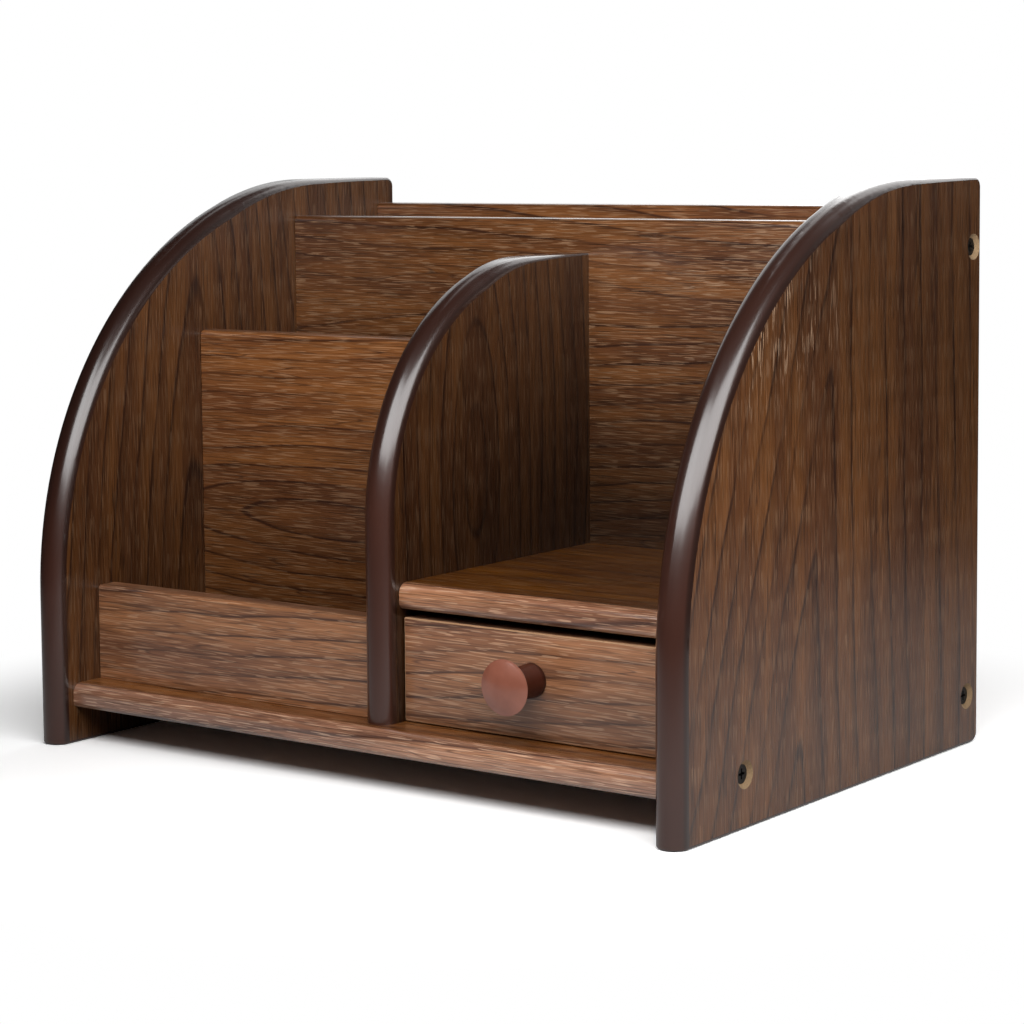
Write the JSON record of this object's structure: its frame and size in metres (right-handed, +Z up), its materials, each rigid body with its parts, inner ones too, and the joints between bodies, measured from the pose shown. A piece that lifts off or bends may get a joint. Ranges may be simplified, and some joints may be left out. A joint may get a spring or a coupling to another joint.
{
  "type": "desk organizer",
  "caption": "Walnut-look desk organizer: curved side panels, upright dividers stepping up to the back, open shelf over a sliding drawer with a round knob.",
  "frame": {"origin": "on the desk surface, in the middle of the footprint", "axes": "+X to the user's right, the open front looks along -Y, +Z up"},
  "size_m": [0.3, 0.215, 0.2195],
  "materials": {
    "walnut_foil": "satin walnut foil",
    "walnut_foil_drawer": "satin walnut foil",
    "knob_wood": "satin red-brown stain",
    "raw_board": "raw fibreboard",
    "dowel_wood": "raw beech",
    "black_screw": "black phosphate",
    "plated_steel": "zinc plated"
  },
  "bodies": {
    "carcass": {"side_panel_left": "walnut_foil", "side_panel_right": "walnut_foil", "base_board": "walnut_foil", "back_panel": "walnut_foil", "rear_divider": "walnut_foil", "middle_divider": "walnut_foil", "bin_fascia": "walnut_foil", "centre_divider": "walnut_foil", "drawer_shelf": "walnut_foil", "side_screws_left": "black_screw", "side_screws_right": "black_screw", "base_screws": "black_screw", "dowels_left": "dowel_wood", "dowels_right": "dowel_wood", "dowels_centre": "dowel_wood", "dowels_link": "dowel_wood"},
    "drawer": {"drawer_front": "walnut_foil_drawer", "drawer_side_left": "raw_board", "drawer_side_right": "raw_board", "drawer_back": "raw_board", "drawer_floor": "raw_board", "drawer_dowels": "dowel_wood", "drawer_brads": "plated_steel", "drawer_knob": "knob_wood", "knob_screw": "plated_steel"}
  },
  "joints": [
    {"name": "drawer_slide", "type": "slide", "parent": "carcass", "child": "drawer", "axis": [0, -1, 0], "range_m": [0, 0.085]}
  ]
}
